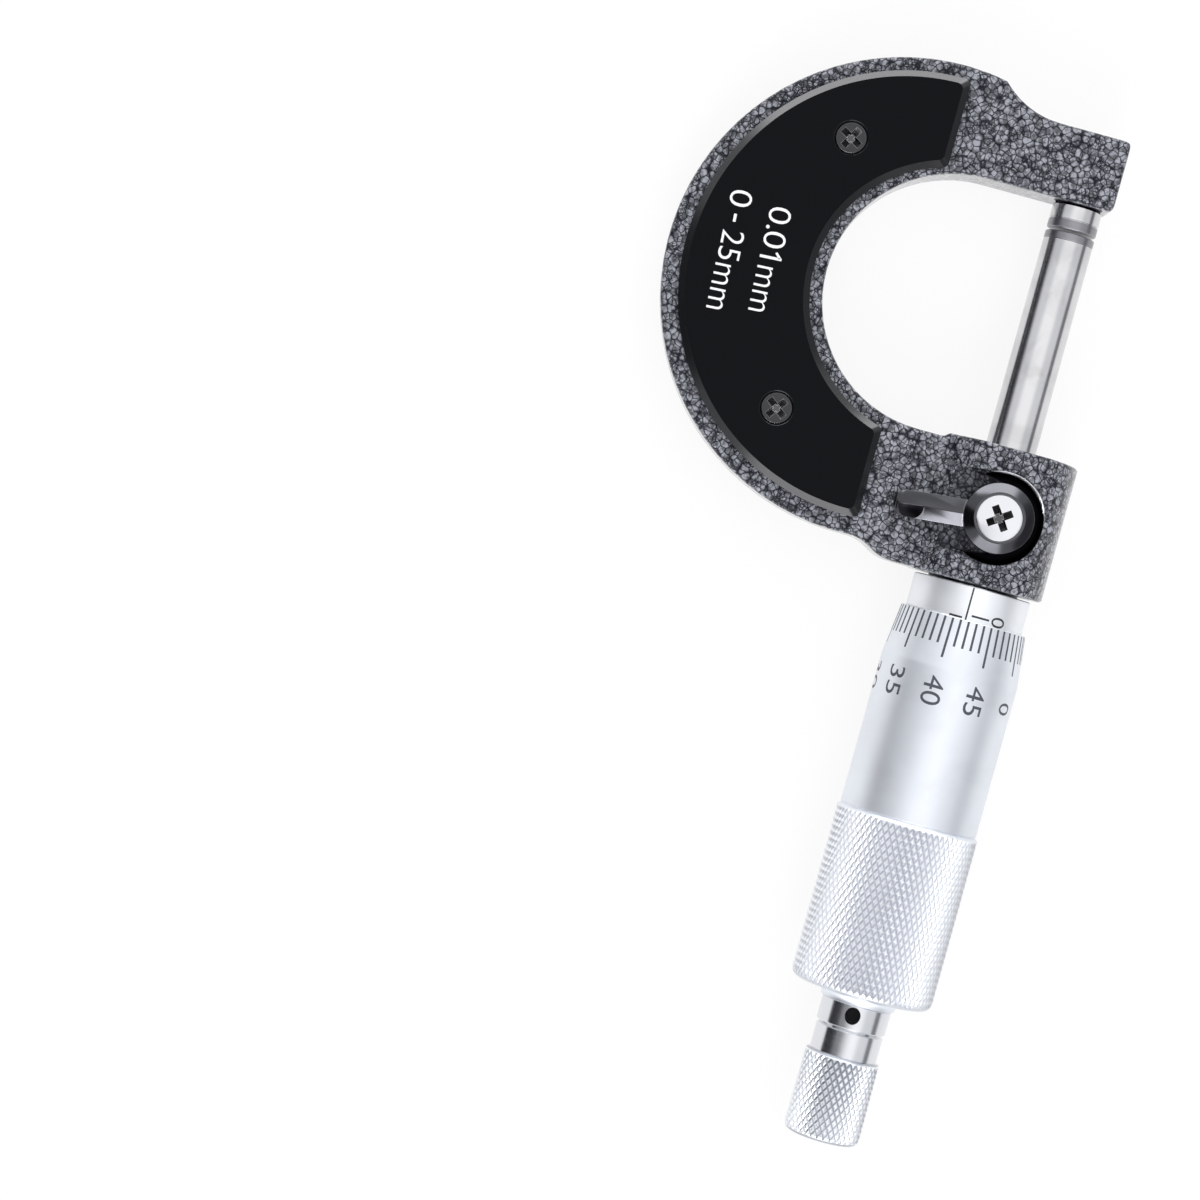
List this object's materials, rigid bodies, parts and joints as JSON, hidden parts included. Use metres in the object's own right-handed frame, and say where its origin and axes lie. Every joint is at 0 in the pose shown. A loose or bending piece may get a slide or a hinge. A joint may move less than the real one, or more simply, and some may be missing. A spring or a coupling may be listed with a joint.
{
  "type": "outside micrometer",
  "caption": "Small outside micrometer with a painted C-shaped frame, graduated sleeve and thimble, knurled ratchet stop, lever lock and a black grip plate on the bow.",
  "frame": {"origin": "middle of the anvil block's flat outer end, on the spindle's axis; the anvil's measuring face is 12.78 mm along +X", "axes": "+X along the spindle from the anvil to the ratchet stop; -Y towards the bow of the frame; +Z out of the side with the grip plate, the scale and the lock lever"},
  "size_m": [0.1392, 0.0597, 0.0195],
  "materials": {
    "hammertone_paint": "glossy hammertone enamel",
    "ground_steel": "ground",
    "carbide": "lapped",
    "satin_chrome": "satin",
    "polished_steel": "polished",
    "dark_steel": "blackened",
    "black_nickel": "glossy black plating",
    "brass": "turned",
    "black_plastic": "glossy"
  },
  "bodies": {
    "frame_body": {"frame": "hammertone_paint", "anvil": "ground_steel", "anvil_tip": "carbide", "inner_sleeve": "ground_steel", "adjusting_nut": "dark_steel", "graduated_sleeve": "satin_chrome", "insulating_plate": "black_plastic", "plate_screw_anvil_side": "black_nickel", "plate_screw_thimble_side": "black_nickel"},
    "spindle_carrier": {"spindle_tip": "carbide"},
    "thimble_body": {"spindle": "ground_steel", "thimble": "satin_chrome", "ratchet_base": "polished_steel", "ratchet_screw": "polished_steel"},
    "ratchet_knob_body": {"ratchet_knob": "satin_chrome"},
    "pawl_body": {"ratchet_pawl": "ground_steel", "ratchet_spring": "dark_steel"},
    "lock_body": {"lock_lever": "black_nickel", "lock_screw": "polished_steel", "lock_stud": "ground_steel"},
    "shoe_body": {"lock_shoe": "brass"}
  },
  "joints": [
    {"name": "spindle_feed", "type": "slide", "parent": "frame_body", "child": "spindle_carrier", "axis": [1, 0, 0], "range_m": [-0.0004, 0.02458]},
    {"name": "thimble_turn", "type": "hinge", "parent": "spindle_carrier", "child": "thimble_body", "pos_m": [0.0132, 0, 0], "axis": [1, 0, 0], "range_deg": [-291.7, 17701.3]},
    {"name": "ratchet_turn", "type": "hinge", "parent": "thimble_body", "child": "ratchet_knob_body", "pos_m": [0.1205, 0, 0], "axis": [1, 0, 0], "continuous": true},
    {"name": "pawl_slide", "type": "slide", "parent": "thimble_body", "child": "pawl_body", "axis": [-1, 0, 0], "range_m": [0, 0.0005], "stiffness_N_per_m": 500, "springref_m": -0.002, "deforming": ["ratchet_spring"]},
    {"name": "lock_turn", "type": "hinge", "parent": "frame_body", "child": "lock_body", "pos_m": [0.05148, 0, 0.0064], "axis": [0, 0, 1], "range_deg": [-32, 20]},
    {"name": "lock_shoe_slide", "type": "slide", "parent": "frame_body", "child": "shoe_body", "axis": [0, 0, -1], "range_m": [-0.0000388, 0.0000622]}
  ],
  "couplings": [
    {"joint": "thimble_turn", "follows": "spindle_feed", "rad_per_m": 12566},
    {"joint": "lock_turn", "follows": "lock_shoe_slide", "rad_per_m": -8976}
  ]
}
